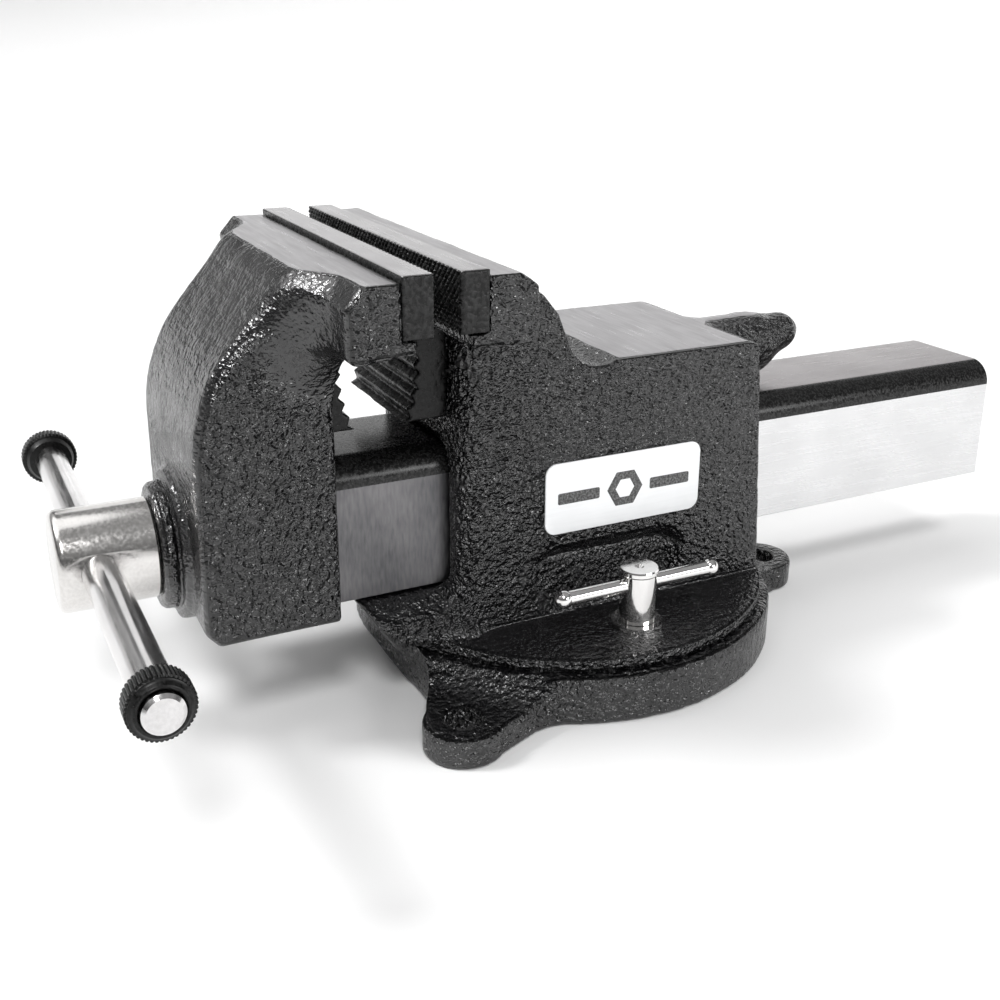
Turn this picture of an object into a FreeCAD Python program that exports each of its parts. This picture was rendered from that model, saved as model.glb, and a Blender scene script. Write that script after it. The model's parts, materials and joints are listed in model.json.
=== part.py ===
"""Swivel-base bench vise with a channel slide, pipe jaws, an anvil and a horn.

Frame: the origin is the centre of the swivel base's bottom face, +Z is up, +Y runs
along the slide towards its free end, and the handle is at the -Y end.
"""
import FreeCAD, Part
import Sketcher
import math
import operator
import os

Vector = FreeCAD.Vector
Rotation = FreeCAD.Rotation

# Driving dimensions in millimetres, one sheet cell each.
DIMENSIONS = {
    "jaw_half": 101.6,          # half the jaw width, an 8 inch vise
    "jaw_gap": 9.9,             # opening between the jaw plates as stored
    "plate_front": -106.8,      # face of the rear jaw plate
    "rear_plate_thick": 14.2,
    "front_plate_thick": 15.1,
    "plate_bottom": 197.9,
    "plate_top": 224.9,
    "head_bottom": 191.0,
    "head_top": 222.0,
    "body_half": 54.3,          # half width of the fixed casting
    "body_front": -84.7,
    "body_rear": 87.0,
    "anvil_top": 164.0,
    "draft_rear": 10.5,         # how far the rear face leans out at its foot
    "disc_radius": 110.6,
    "disc_bottom": 24.9,
    "disc_top": 32.4,
    "base_radius": 116.7,
    "base_flat": 106.0,
    "base_top": 24.6,
    "lug_centre": 143.7,        # the two front lugs' holes from the swivel axis
    "rear_lug_centre": 132.0,
    "lug_radius": 19.5,
    "lug_thick": 15.0,
    "lug_hole": 9.0,
    "lug_axis": -95.0,          # the front pair's middle line, seen from above
    "lug_spread": 48.5,
    "slide_half": 36.8,
    "slide_bottom": 53.7,
    "slide_top": 125.0,
    "slide_corner": 13.2,
    "slide_end": 278.5,
    "slide_gap": 0.4,
    "channel_half": 24.0,
    "channel_top": 106.0,
    "front_half": 55.0,         # half width of the moving casting
    "front_face": -209.8,
    "front_rear": -146.0,
    "front_bottom": 52.6,
    "front_curve": 80.1,        # radius of the moving jaw's rounded front
    "curve_start": 138.0,
    "screw_height": 84.4,
    "screw_radius": 15.0,
    "screw_head_radius": 24.0,
    "screw_head_front": -266.0,
    "boss_radius": 30.5,
    "boss_front": -221.0,
    "screw_end": 252.0,
    "handle_along": -248.0,
    "handle_radius": 8.5,
    "handle_tilt": 2.8,
    "handle_right": 166.0,
    "handle_left": 186.0,
    "right_knob_radius": 13.0,
    "left_knob_radius": 15.2,
    "lock_across": 81.7,
    "lock_bar_height": 54.8,
    "lock_bar_radius": 3.8,
    "lock_bar_half": 43.0,
    "lock_radius": 6.0,
    "pipe_radius": 60.0,        # the hollow face of a pipe jaw
    "pipe_height": 168.0,
    "pipe_bottom": 141.0,
    "pipe_top": 188.8,
    "pipe_half": 38.0,
    "rear_pipe_face": -101.5,
    "front_pipe_face": -137.0,
    "pivot_radius": 12.0,
}

doc = FreeCAD.newDocument("BenchVise")
sheet = doc.addObject("Spreadsheet::Sheet", "Dims")
for row, (alias, number) in enumerate(DIMENSIONS.items(), 1):
    sheet.set("A%d" % row, alias)
    sheet.set("B%d" % row, str(number))
    sheet.setAlias("B%d" % row, alias)
doc.recompute()


class Size:
    """A length that knows its value and the sheet expression that it comes from."""

    def __init__(self, value, text):
        self.value = value
        self.text = text

    def __add__(self, other):
        return combine(self, other, "+")

    def __sub__(self, other):
        return combine(self, other, "-")

    def __mul__(self, other):
        return combine(self, other, "*")

    def __neg__(self):
        return combine(0.0, self, "-")


OPERATIONS = {"+": operator.add, "-": operator.sub, "*": operator.mul}


def size(number):
    """A plain number as a Size, so that both kinds mix in one outline."""
    if isinstance(number, Size):
        return number
    return Size(float(number), "(%r)" % float(number))


def combine(first, second, sign):
    first, second = size(first), size(second)
    return Size(
        OPERATIONS[sign](first.value, second.value),
        "(%s %s %s)" % (first.text, sign, second.text),
    )


def cell(alias):
    return Size(DIMENSIONS[alias], "Dims.%s" % alias)


jaw_half = cell("jaw_half")
plate_front = cell("plate_front")
rear_seat = plate_front + cell("rear_plate_thick")
gap_front = plate_front - cell("jaw_gap")
front_seat = gap_front - cell("front_plate_thick")
plate_bottom, plate_top = cell("plate_bottom"), cell("plate_top")
head_bottom, head_top = cell("head_bottom"), cell("head_top")
body_half, body_front, body_rear = cell("body_half"), cell("body_front"), cell("body_rear")
anvil_top = cell("anvil_top")
disc_bottom, disc_top = cell("disc_bottom"), cell("disc_top")
base_top = cell("base_top")
slide_half, slide_corner, slide_gap = cell("slide_half"), cell("slide_corner"), cell("slide_gap")
slide_bottom, slide_top = cell("slide_bottom"), cell("slide_top")
channel_half, channel_top = cell("channel_half"), cell("channel_top")
front_half, front_face, front_rear = cell("front_half"), cell("front_face"), cell("front_rear")
front_bottom = cell("front_bottom")
screw_height, screw_radius = cell("screw_height"), cell("screw_radius")
lock_across = cell("lock_across")

RECESS_DEPTH = 10.0         # pocket beside each lock bolt that lets its bar swing
PLATE_SCREW_X = 55.0        # the two screws of each jaw plate
PLATE_SCREW_Z = 211.4
PIPE_PIN_X = 24.0
NUT_FRONT, NUT_REAR = -62.0, -8.0
NUT_BOLT_Y = -35.0
RUNNING = 0.05              # radial clearance of a shaft that turns in its bore
HANDLE_FIT = 0.08           # radial clearance of a bar that slides in its cross hole


# ---- helpers ------------------------------------------------------------------------


def new_body(label):
    body = doc.addObject("PartDesign::Body", label)
    body.Label = label
    return body


def origin_feature(body, role):
    return next(f for f in body.Origin.OriginFeatures if f.Role == role)


def new_sketch(body, plane, offset=0.0):
    """An empty sketch on one of the body's own planes, moved along its normal."""
    sketch = body.newObject("Sketcher::SketchObject", body.Label + "_sketch")
    sketch.AttachmentSupport = [(origin_feature(body, plane), "")]
    sketch.MapMode = "FlatFace"
    sketch.setExpression("AttachmentOffset.Base.z", size(offset).text)
    doc.recompute()
    return sketch


def arc_between(start, end, radius):
    """The arc from start to end; a positive radius bulges to the right of the way."""
    chord = end - start
    half = chord.Length / 2
    side = Vector(chord.y, -chord.x, 0).normalize() * math.copysign(1, radius)
    centre = start + chord / 2 - side * math.sqrt(max(radius**2 - half**2, 0))
    middle = centre + side * abs(radius)
    return Part.Arc(start, middle, end)


def outline(body, plane, points, offset=0.0):
    """A closed outline. A point is (u, v), or (u, v, radius) where an arc leaves it."""
    sketch = new_sketch(body, plane, offset)
    corners = [(size(p[0]), size(p[1])) for p in points]
    places = [Vector(u.value, v.value, 0) for u, v in corners]
    sizes = []
    for i, point in enumerate(points):
        following = (i + 1) % len(points)
        if len(point) == 3:
            radius = size(point[2])
            curve = arc_between(places[i], places[following], radius.value)
        else:
            curve = Part.LineSegment(places[i], places[following])
        sketch.addGeometry(curve, False)
    for i, point in enumerate(points):
        following = (i + 1) % len(points)
        leaving = ends_of(points, i)[0]
        arriving = ends_of(points, i)[1]
        sketch.addConstraint(
            Sketcher.Constraint("Coincident", i, arriving, following, ends_of(points, following)[0])
        )
        for kind, number in (("DistanceX", corners[i][0]), ("DistanceY", corners[i][1])):
            sizes.append((Sketcher.Constraint(kind, -1, 1, i, leaving, number.value), number.text))
        if len(point) == 3:
            radius = size(point[2])
            sizes.append((Sketcher.Constraint("Radius", i, abs(radius.value)), "abs(%s)" % radius.text))
    for constraint, text in sizes:
        index = sketch.addConstraint(constraint)
        sketch.setExpression("Constraints[%d]" % index, text)
    return sketch


def ends_of(points, i):
    """Which sketch vertex an edge starts and ends at: arcs always run anticlockwise."""
    clockwise = len(points[i]) == 3 and size(points[i][2]).value < 0
    return (2, 1) if clockwise else (1, 2)


def circle(body, plane, centre, radius, offset=0.0):
    sketch = new_sketch(body, plane, offset)
    across, up, radius = size(centre[0]), size(centre[1]), size(radius)
    place = Vector(across.value, up.value, 0)
    sketch.addGeometry(Part.Circle(place, Vector(0, 0, 1), radius.value), False)
    for kind, number in (("DistanceX", across), ("DistanceY", up)):
        index = sketch.addConstraint(Sketcher.Constraint(kind, -1, 1, 0, 3, number.value))
        sketch.setExpression("Constraints[%d]" % index, number.text)
    index = sketch.addConstraint(Sketcher.Constraint("Radius", 0, radius.value))
    sketch.setExpression("Constraints[%d]" % index, radius.text)
    return sketch


def extrude(body, sketch, length, kind="Pad", both_ways=False, reverse=False):
    """Pad or pocket a sketch, and make sure that a pocket really cuts."""
    before = body.Shape.Volume if not body.Shape.isNull() else 0.0
    feature = body.newObject("PartDesign::" + kind, body.Label + "_" + kind)
    feature.Profile = sketch
    if both_ways:
        feature.SideType = "Symmetric"
    feature.setExpression("Length", size(length).text)
    feature.Reversed = reverse
    doc.recompute()
    if "Invalid" in sketch.State:
        raise RuntimeError("bad outline %s in %s" % (sketch.Name, body.Label))
    if kind == "Pocket" and body.Shape.Volume > before - 1.0:
        raise RuntimeError("pocket cuts nothing in " + body.Label)
    return feature


def pad(body, sketch, length, **options):
    return extrude(body, sketch, length, "Pad", **options)


def pocket(body, sketch, length, **options):
    return extrude(body, sketch, length, "Pocket", **options)


def place(body, at, turn=None):
    """Put a body at a point whose parts are sizes, turned if need be."""
    position = [size(a) for a in at]
    body.Placement = FreeCAD.Placement(
        Vector(*[p.value for p in position]), turn or Rotation()
    )
    for letter, number in zip("xyz", position):
        body.setExpression("Placement.Base." + letter, number.text)


ALONG_Y = Rotation(Vector(1, 0, 0), -90)     # local +Z to world +Y


def turned(label, profile, at=(0, 0, 0), turn=None):
    """A turned piece: the profile is (radius, along) about the local Z axis."""
    body = new_body(label)
    sketch = outline(body, "XZ_Plane", profile)
    feature = body.newObject("PartDesign::Revolution", label + "_turn")
    feature.Profile = sketch
    feature.ReferenceAxis = (sketch, ["V_Axis"])
    doc.recompute()
    place(body, at, turn)
    return body


def rod(label, radius, low, high, at, turn, chamfer=0.6):
    """A plain round bar with chamfered ends."""
    radius, low, high = size(radius), size(low), size(high)
    profile = [
        (0, low),
        (radius - chamfer, low),
        (radius, low + chamfer),
        (radius, high - chamfer),
        (radius - chamfer, high),
        (0, high),
    ]
    return turned(label, profile, at, turn)


def ring(label, inner, outer, low, high, at, turn=None):
    profile = [(inner, low), (outer, low), (outer, high), (inner, high)]
    return turned(label, profile, at, turn)


def drilled(label, blank, radius, start, end):
    """A piece with a round hole drilled through it from start to end."""
    drill = doc.addObject("Part::Cylinder", label + "_drill")
    drill.setExpression("Radius", size(radius).text)
    drill.Height = (end - start).Length
    drill.Placement = FreeCAD.Placement(start, Rotation(Vector(0, 0, 1), end - start))
    piece = doc.addObject("Part::Cut", label)
    piece.Label = label
    piece.Base = blank
    piece.Tool = drill
    doc.recompute()
    return piece


def group(label, bodies):
    """Identical fasteners as one node of separate solids."""
    compound = doc.addObject("Part::Compound", label)
    compound.Label = label
    compound.Links = bodies
    return compound


# ---- swivel base --------------------------------------------------------------------


def make_base():
    """The base ring, with three bolt lugs and the T-slot that the lock nuts ride in."""
    base = new_body("swivel_base")
    outer, across, pin = cell("base_radius"), lock_across, cell("pivot_radius")
    slot_floor, neck_floor, pin_floor = 4.8, 14.8, 8.0
    profile = [
        (0, pin_floor),
        (0, 0),
        (outer, 0),
        (outer, base_top - 2),
        (outer - 2, base_top),
        (across + 7, base_top),
        (across + 7, neck_floor),
        (across + 12.5, neck_floor),
        (across + 12.5, slot_floor),
        (across - 12.5, slot_floor),
        (across - 12.5, neck_floor),
        (across - 7, neck_floor),
        (across - 7, base_top),
        (pin + 0.02, base_top),
        (pin + 0.02, pin_floor),
    ]
    sketch = outline(base, "XZ_Plane", profile)
    turn = base.newObject("PartDesign::Revolution", "swivel_base_turn")
    turn.Profile = sketch
    turn.ReferenceAxis = (sketch, ["V_Axis"])
    doc.recompute()
    front, beyond = -cell("base_flat"), -outer - 10
    flat = [(-70, beyond), (70, beyond), (70, front), (-70, front)]
    pocket(base, outline(base, "XY_Plane", flat, 60), 100)
    for angle, centre in lug_places():
        add_lug(base, angle, centre)
    return base


def lug_places():
    """Each lug's angle in degrees and its hole's distance from the swivel axis."""
    axis, spread = DIMENSIONS["lug_axis"], DIMENSIONS["lug_spread"]
    near, rear = DIMENSIONS["lug_centre"], DIMENSIONS["rear_lug_centre"]
    return ((axis + spread, near), (axis - spread, near), (axis + 180, rear))


def add_lug(base, angle, centre):
    """A round-ended lug whose flanks spread towards the ring, and its bolt hole."""
    radius, turn = DIMENSIONS["lug_radius"], math.radians(angle)
    root, waist = DIMENSIONS["base_radius"] - 10, 44.0

    def seen(along, side):
        return (
            along * math.cos(turn) - side * math.sin(turn),
            along * math.sin(turn) + side * math.cos(turn),
        )

    shape = [
        seen(root, -waist),
        seen(centre, -radius) + (radius,),
        seen(centre + radius, 0) + (radius,),
        seen(centre, radius),
        seen(root, waist),
    ]
    pad(base, outline(base, "XY_Plane", shape), cell("lug_thick"))
    hole = circle(base, "XY_Plane", seen(centre, 0), cell("lug_hole"), 60)
    pocket(base, hole, 100)


# ---- fixed casting ------------------------------------------------------------------


def slide_section(half, low, high, corner):
    """The slide's outline in X and Z: a box with its two top corners rounded."""
    return [
        (-half, low),
        (half, low),
        (half, high - corner, corner),
        (half - corner, high),
        (-half + corner, high, corner),
        (-half, high - corner),
    ]


def make_fixed_jaw_body():
    """Turntable disc, housing, fixed jaw, anvil and horn in one casting."""
    body = new_body("fixed_jaw_body")
    thick = disc_top - disc_bottom
    pad(body, circle(body, "XY_Plane", (0, 0), cell("disc_radius"), disc_bottom), thick)
    housing = [
        (body_front, disc_bottom + 3),
        (body_rear + cell("draft_rear"), disc_bottom + 3),
        (body_rear, anvil_top - 6),
        (body_rear - 2, anvil_top),
        (4, anvil_top),
        (-8, anvil_top - 2.5, -24),
        (-27, anvil_top + 12),
        (-33, anvil_top + 24),
        (-50, head_top - 18),
        (body_front, head_top - 18),
    ]
    pad(body, outline(body, "YZ_Plane", housing), body_half * 2, both_ways=True)
    head = [
        (rear_seat - 8, head_bottom),
        (-69, head_bottom),
        (-69, head_top - 6),
        (-78.6, head_top),
        (rear_seat, head_top),
        (rear_seat, plate_bottom),
        (rear_seat - 8, plate_bottom),
    ]
    pad(body, outline(body, "YZ_Plane", head), jaw_half * 2, both_ways=True)
    gusset = [
        (-body_half + 2, head_bottom - 16),
        (body_half - 2, head_bottom - 16),
        (body_half, head_bottom - 16, -16),
        (body_half + 16, head_bottom),
        (body_half + 16, head_bottom + 2),
        (-body_half - 16, head_bottom + 2),
        (-body_half - 16, head_bottom, -16),
        (-body_half, head_bottom - 16),
    ]
    pad(body, outline(body, "XZ_Plane", gusset, -body_front), 14, reverse=True)
    nose = [
        (body_front + 5, disc_top - 2),
        (body_front + 5, slide_bottom - slide_gap),
        (-134, slide_bottom - slide_gap),
        (-118.5, disc_top - 2),
    ]
    pad(body, outline(body, "YZ_Plane", nose), body_half * 2, both_ways=True)
    add_horn(body)
    tunnel = slide_section(
        slide_half + slide_gap, slide_bottom - slide_gap, slide_top + slide_gap, slide_corner
    )
    pocket(body, outline(body, "XZ_Plane", tunnel), 600, both_ways=True)
    add_recesses(body)
    drill_fixed_jaw_body(body)
    return body


def add_horn(body):
    """The round tapered horn behind the anvil."""
    stations = ((78, 139, 25), (118, 146, 16), (147, 151, 7.4), (152.5, 151.8, 3.6))
    rings = [circle(body, "XZ_Plane", (0, up), radius, -along) for along, up, radius in stations]
    loft = body.newObject("PartDesign::AdditiveLoft", "horn")
    loft.Profile = rings[0]
    loft.Sections = rings[1:]
    loft.Ruled = True
    doc.recompute()


def add_recesses(body):
    """A shallow pocket in each side above the turntable, so that a lock bar can swing."""
    shape = [
        (-48, disc_top),
        (46, disc_top),
        (46, 54, 14),
        (32, 68),
        (-30, 68, 18),
        (-48, 50),
    ]
    for sign in (1, -1):
        wall = (body_half - RECESS_DEPTH) * sign
        pocket(body, outline(body, "YZ_Plane", shape, wall), 30, reverse=sign > 0)


def drill_fixed_jaw_body(body):
    """Holes for the lock bolts, the jaw plate's screws, the nut's bolt and the pivot."""
    for sign in (1, -1):
        hole = circle(body, "XY_Plane", (lock_across * sign, 0), cell("lock_radius") + 0.4, 40)
        pocket(body, hole, 30)
        seat = -rear_seat
        hole = circle(body, "XZ_Plane", (PLATE_SCREW_X * sign, PLATE_SCREW_Z), 4.1, seat)
        pocket(body, hole, 14)
        hole = circle(body, "XZ_Plane", (PIPE_PIN_X * sign, cell("pipe_height")), 3.0, -body_front)
        pocket(body, hole, 8)
    pocket(body, circle(body, "XY_Plane", (0, NUT_BOLT_Y), 6.1, 60), 60)
    pocket(body, circle(body, "XY_Plane", (0, NUT_BOLT_Y), 10.5, disc_bottom), 9, reverse=True)
    pivot = circle(body, "XY_Plane", (0, 0), cell("pivot_radius") + RUNNING, disc_bottom)
    pocket(body, pivot, 20, reverse=True)


# ---- moving casting -----------------------------------------------------------------


def make_sliding_jaw():
    """The moving jaw, its screw boss and the channel-shaped slide in one casting."""
    jaw = new_body("sliding_jaw")
    curve = cell("front_curve")
    side = [
        (front_face + 7, front_bottom),
        (front_rear, front_bottom),
        (front_rear, head_bottom),
        (front_seat, head_bottom),
        (front_seat, 216.0),
        (-145.7, 216.0, curve),
        (front_face, cell("curve_start")),
        (front_face, front_bottom + 9),
    ]
    pad(jaw, outline(jaw, "YZ_Plane", side), front_half * 2, both_ways=True)
    head = [
        (-148.5, head_bottom - 1.5),
        (front_seat + 6, head_bottom),
        (front_seat + 6, plate_bottom),
        (front_seat, plate_bottom),
        (front_seat, head_top),
        (-146.5, head_top),
        (-155.4, 213.2),
        (-155.4, head_bottom + 1),
    ]
    pad(jaw, outline(jaw, "YZ_Plane", head), jaw_half * 2, both_ways=True)
    gusset = [
        (-front_half + 2, head_bottom - 30),
        (front_half - 2, head_bottom - 30),
        (front_half, head_bottom - 30, -30),
        (front_half + 30, head_bottom),
        (front_half + 30, head_bottom + 2),
        (-front_half - 30, head_bottom + 2),
        (-front_half - 30, head_bottom, -30),
        (-front_half, head_bottom - 30),
    ]
    pad(jaw, outline(jaw, "XZ_Plane", gusset, -front_rear + 19), 19, reverse=True)
    boss = circle(jaw, "XZ_Plane", (0, screw_height), cell("boss_radius"), -front_face - 2)
    pad(jaw, boss, front_face - cell("boss_front") + 2)
    flare = circle(jaw, "XZ_Plane", (0, screw_height), 37, -front_face - 2)
    pad(jaw, flare, 5.5)
    bar = slide_section(slide_half, slide_bottom, slide_top, slide_corner)
    start = front_rear - 4
    pad(
        jaw,
        outline(jaw, "XZ_Plane", bar, -start),
        cell("slide_end") - start,
        reverse=True,
    )
    channel = [
        (-channel_half, 40),
        (channel_half, 40),
        (channel_half, channel_top),
        (-channel_half, channel_top),
    ]
    pocket(jaw, outline(jaw, "XZ_Plane", channel, 140), 600)
    bore = circle(jaw, "XZ_Plane", (0, screw_height), screw_radius + RUNNING, 130)
    pocket(jaw, bore, 120, reverse=True)
    for sign in (1, -1):
        hole = circle(jaw, "XZ_Plane", (PLATE_SCREW_X * sign, PLATE_SCREW_Z), 4.1, -front_seat)
        pocket(jaw, hole, 16, reverse=True)
        hole = circle(jaw, "XZ_Plane", (PIPE_PIN_X * sign, cell("pipe_height")), 3.0, -front_rear)
        pocket(jaw, hole, 8, reverse=True)
    return jaw


# ---- jaw plates and pipe jaws -------------------------------------------------------


def make_plate(label, low, high, faces_rear):
    """A hardened jaw plate with two counterbored screw holes."""
    plate = new_body(label)
    face = [(low, plate_bottom), (high, plate_bottom), (high, plate_top), (low, plate_top)]
    pad(plate, outline(plate, "YZ_Plane", face), jaw_half * 2, both_ways=True)
    front = high if faces_rear else low
    for sign in (1, -1):
        at = (PLATE_SCREW_X * sign, PLATE_SCREW_Z)
        pocket(plate, circle(plate, "XZ_Plane", at, 4.2), 600, both_ways=True)
        head = circle(plate, "XZ_Plane", at, 7.2, -front)
        pocket(plate, head, 8, reverse=faces_rear)
    return plate


def make_plate_screws(label, face, faces_rear):
    """Two cap screws, each with its head down in the plate's counterbore."""
    turn = ALONG_Y if faces_rear else Rotation(Vector(1, 0, 0), 90)
    profile = [
        (0, -24.0), (4, -24.0), (4, -7.8), (7, -7.8), (7, -1.4), (6.4, -0.8),
        (3, -0.8), (3, -4.8), (0, -4.8),
    ]
    screws = []
    for side in (1, -1):
        at = (PLATE_SCREW_X * side, face, PLATE_SCREW_Z)
        screws.append(turned("%s_%d" % (label, side + 2), profile, at, turn))
    return group(label, screws)


TEETH = 7
TOOTH_DEPTH = 3.0


def make_pipe_jaw(label, back, face, way):
    """A pipe jaw: a block whose face is a hollow arc cut into horizontal teeth."""
    insert = new_body(label)
    radius, height = cell("pipe_radius"), cell("pipe_height")
    low, high = cell("pipe_bottom"), cell("pipe_top")
    centre = face - radius * way
    start = math.asin((low.value - height.value) / radius.value)
    end = math.asin((high.value - height.value) / radius.value)
    shape = []
    for step in range(2 * TEETH + 1):
        angle = start + (end - start) * step / (2 * TEETH)
        depth = radius + (TOOTH_DEPTH if step % 2 else 0.0)
        shape.append((centre + depth * (way * math.cos(angle)), height + depth * math.sin(angle)))
    shape.append((back, shape[-1][1]))
    shape.append((back, shape[0][1]))
    if way < 0:
        shape.reverse()
    pad(insert, outline(insert, "YZ_Plane", shape), cell("pipe_half") * 2, both_ways=True)
    return insert


def make_pipe_pins(label, start, turn):
    """Two locating pins between a pipe jaw and its casting."""
    pins = []
    for side in (1, -1):
        at = (PIPE_PIN_X * side, start, cell("pipe_height"))
        pins.append(rod("%s_%d" % (label, side + 2), 2.9, 0.1, 7.5, at, turn, 0.4))
    return group(label, pins)


# ---- screw, nut and handle ----------------------------------------------------------


def make_lead_screw():
    """The main screw and its head, with the cross hole that the handle slides in."""
    head = cell("screw_head_radius")
    front, shoulder, end = cell("screw_head_front"), cell("boss_front") - 0.3, cell("screw_end")
    profile = [
        (0, front),
        (head - 3.5, front, 3.5),
        (head, front + 3.5),
        (head, shoulder - 1),
        (head - 1, shoulder),
        (screw_radius, shoulder),
        (screw_radius, end - 3),
        (screw_radius - 3, end),
        (0, end),
    ]
    blank = turned("lead_screw_blank", profile, (0, 0, screw_height), ALONG_Y)
    tilt = math.radians(DIMENSIONS["handle_tilt"])
    half = Vector(math.cos(tilt), 0, math.sin(tilt)) * 40
    middle = Vector(0, DIMENSIONS["handle_along"], DIMENSIONS["screw_height"])
    hole = cell("handle_radius") + HANDLE_FIT
    drilled("lead_screw", blank, hole, middle - half, middle + half)


def make_screw_retainers():
    """What holds the screw in the moving jaw: disc springs, a washer, a collar and its pin."""
    at = (0, 0, screw_height)
    inner = screw_radius + 0.3
    springs = []
    for index, low in enumerate((-139.6, -135.4)):
        rise = 2.2 if index == 0 else -2.2
        start = low + (0 if index == 0 else 2.2)
        profile = [
            (inner, start),
            (21, start + rise),
            (21, start + rise + 1.6),
            (inner, start + 1.6),
        ]
        springs.append(turned("disc_spring_%d" % (index + 1), profile, at, ALONG_Y))
    group("disc_springs", springs)
    ring("thrust_washer", inner, 20.5, -131.2, -128.2, at, ALONG_Y)
    blank = ring("collar_blank", screw_radius + 0.1, 20.5, -127.9, -113.9, at, ALONG_Y)
    pin_radius, pin_along = 2.5, -120.9
    foot = Vector(0, pin_along, DIMENSIONS["screw_height"])
    drilled("retaining_collar", blank, pin_radius + 0.03, foot, foot + Vector(0, 0, 30))
    pin_at = (0, pin_along, screw_height + screw_radius)
    rod("collar_pin", pin_radius, 0.1, 5.2, pin_at, None, 0.4)


def make_nut():
    """The fixed nut: a block inside the slide's channel, bolted down to the casting."""
    nut = new_body("screw_nut")
    floor = slide_bottom - slide_gap
    shape = [(-20, floor), (20, floor), (20, 94, 10), (10, 104), (-10, 104, 10), (-20, 94)]
    pad(nut, outline(nut, "XZ_Plane", shape, -NUT_FRONT), NUT_REAR - NUT_FRONT, reverse=True)
    bore = circle(nut, "XZ_Plane", (0, screw_height), screw_radius + 0.35)
    pocket(nut, bore, 400, both_ways=True)
    pocket(nut, circle(nut, "XY_Plane", (0, NUT_BOLT_Y), 6.1, 40), 26, reverse=True)
    return nut


def make_handle():
    """The sliding handle bar and its two knobs, on an axis that tilts up to the right."""
    tilt = Rotation(Vector(0, 1, 0), 90 - DIMENSIONS["handle_tilt"])
    at = (0, cell("handle_along"), screw_height)
    bar = cell("handle_radius")
    right, left = cell("handle_right"), -cell("handle_left")
    rod("handle_bar", bar, left, right, at, tilt, 1.2)
    for side, end, way in (("right", right, 1), ("left", left, -1)):
        knob = cell(side + "_knob_radius")
        steps = [
            (bar + 0.05, -3.0),
            (knob - 3.3, -3.0),
            (knob - 2.3, -4.4),
            (knob - 1.0, -5.0),
            (knob, -6.0),
            (knob, -14.8),
            (knob - 2.0, -15.8),
            (knob - 3.6, -20.2),
            (bar + 0.05, -20.2),
        ]
        profile = [(radius, end + along * way) for radius, along in steps]
        turned("handle_knob_" + side, profile, at, tilt)


# ---- swivel lock --------------------------------------------------------------------


def make_swivel_lock(side, sign):
    """One lock: T-nut in the base's slot, washer, bolt and its sliding cross bar."""
    across = lock_across * sign
    nut = new_body("lock_t_nut_" + side)
    shape = [
        (-10, -9), (10, -9), (10, 9), (-10, 9),
    ]
    pad(nut, outline(nut, "XY_Plane", shape, 5.4), 8.6)
    pad(nut, circle(nut, "XY_Plane", (0, 0), 6.6, 13), 9.4)
    bore = circle(nut, "XY_Plane", (0, 0), cell("lock_radius") - 1 + RUNNING)
    pocket(nut, bore, 60, both_ways=True)
    place(nut, (across, 0, 0))
    lock_at = (across, 0, 0)
    ring("lock_washer_" + side, 6.4, 13.0, disc_top, disc_top + 2.6, lock_at)
    head, top = 9.2, disc_top + 31.4
    stem = cell("lock_radius") - 1
    profile = [
        (0, 7.0),
        (stem, 7.0),
        (stem, disc_bottom),
        (cell("lock_radius"), disc_bottom),
        (cell("lock_radius"), disc_top + 2.9),
        (head, disc_top + 2.9),
        (head, top - 3.4),
        (head + 0.6, top - 2.6),
        (head + 0.6, top - 0.8),
        (head + 0.2, top),
        (2.4, top),
        (0, top - 1.4),
    ]
    blank = turned("lock_bolt_blank_" + side, profile, lock_at)
    middle = Vector(across.value, 0, DIMENSIONS["lock_bar_height"])
    half_hole = Vector(0, 20, 0)
    hole = cell("lock_bar_radius") + HANDLE_FIT
    drilled("lock_bolt_" + side, blank, hole, middle - half_hole, middle + half_hole)
    bar, half = cell("lock_bar_radius"), cell("lock_bar_half")
    ball = 4.6
    reach = math.sqrt(ball**2 - bar.value**2)
    profile = [
        (0, -half - ball, ball),
        (bar, -half + reach),
        (bar, half - reach, ball),
        (0, half + ball),
    ]
    turned("lock_bar_" + side, profile, (across, 0, cell("lock_bar_height")), ALONG_Y)


# ---- assembly -----------------------------------------------------------------------


def make_nameplate():
    """The blank metal plate on the casting's right side."""
    plate = new_body("nameplate")
    low, high, bottom, top, corner = -39.5, 52.3, 76.6, 114.3, 6.0
    shape = [
        (low + corner, bottom),
        (high - corner, bottom, corner),
        (high, bottom + corner),
        (high, top - corner, corner),
        (high - corner, top),
        (low + corner, top, corner),
        (low, top - corner),
        (low, bottom + corner, corner),
    ]
    pad(plate, outline(plate, "YZ_Plane", shape, body_half), 1.2)
    return plate


make_base()
make_fixed_jaw_body()
make_sliding_jaw()
make_plate("rear_jaw_plate", plate_front, rear_seat, False)
make_plate("front_jaw_plate", front_seat, gap_front, True)
make_plate_screws("rear_jaw_screws", plate_front, False)
make_plate_screws("front_jaw_screws", gap_front, True)
make_pipe_jaw("rear_pipe_jaw", body_front, cell("rear_pipe_face"), 1)
make_pipe_jaw("front_pipe_jaw", front_rear, cell("front_pipe_face"), -1)
make_pipe_pins("rear_pipe_jaw_pins", body_front, ALONG_Y)
make_pipe_pins("front_pipe_jaw_pins", front_rear, Rotation(Vector(1, 0, 0), 90))
make_lead_screw()
make_screw_retainers()
make_nut()
nut_bolt_profile = [
    (0, 25.2), (9, 25.2), (9.8, 26.0), (9.8, 33.6), (6, 33.6), (6, 64), (5, 65), (0, 65),
]
turned("nut_bolt", nut_bolt_profile, (0, NUT_BOLT_Y, 0))
rod("swivel_pivot_pin", cell("pivot_radius"), 8.1, 44.0, (0, 0, 0), None, 1.0)
make_handle()
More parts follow.
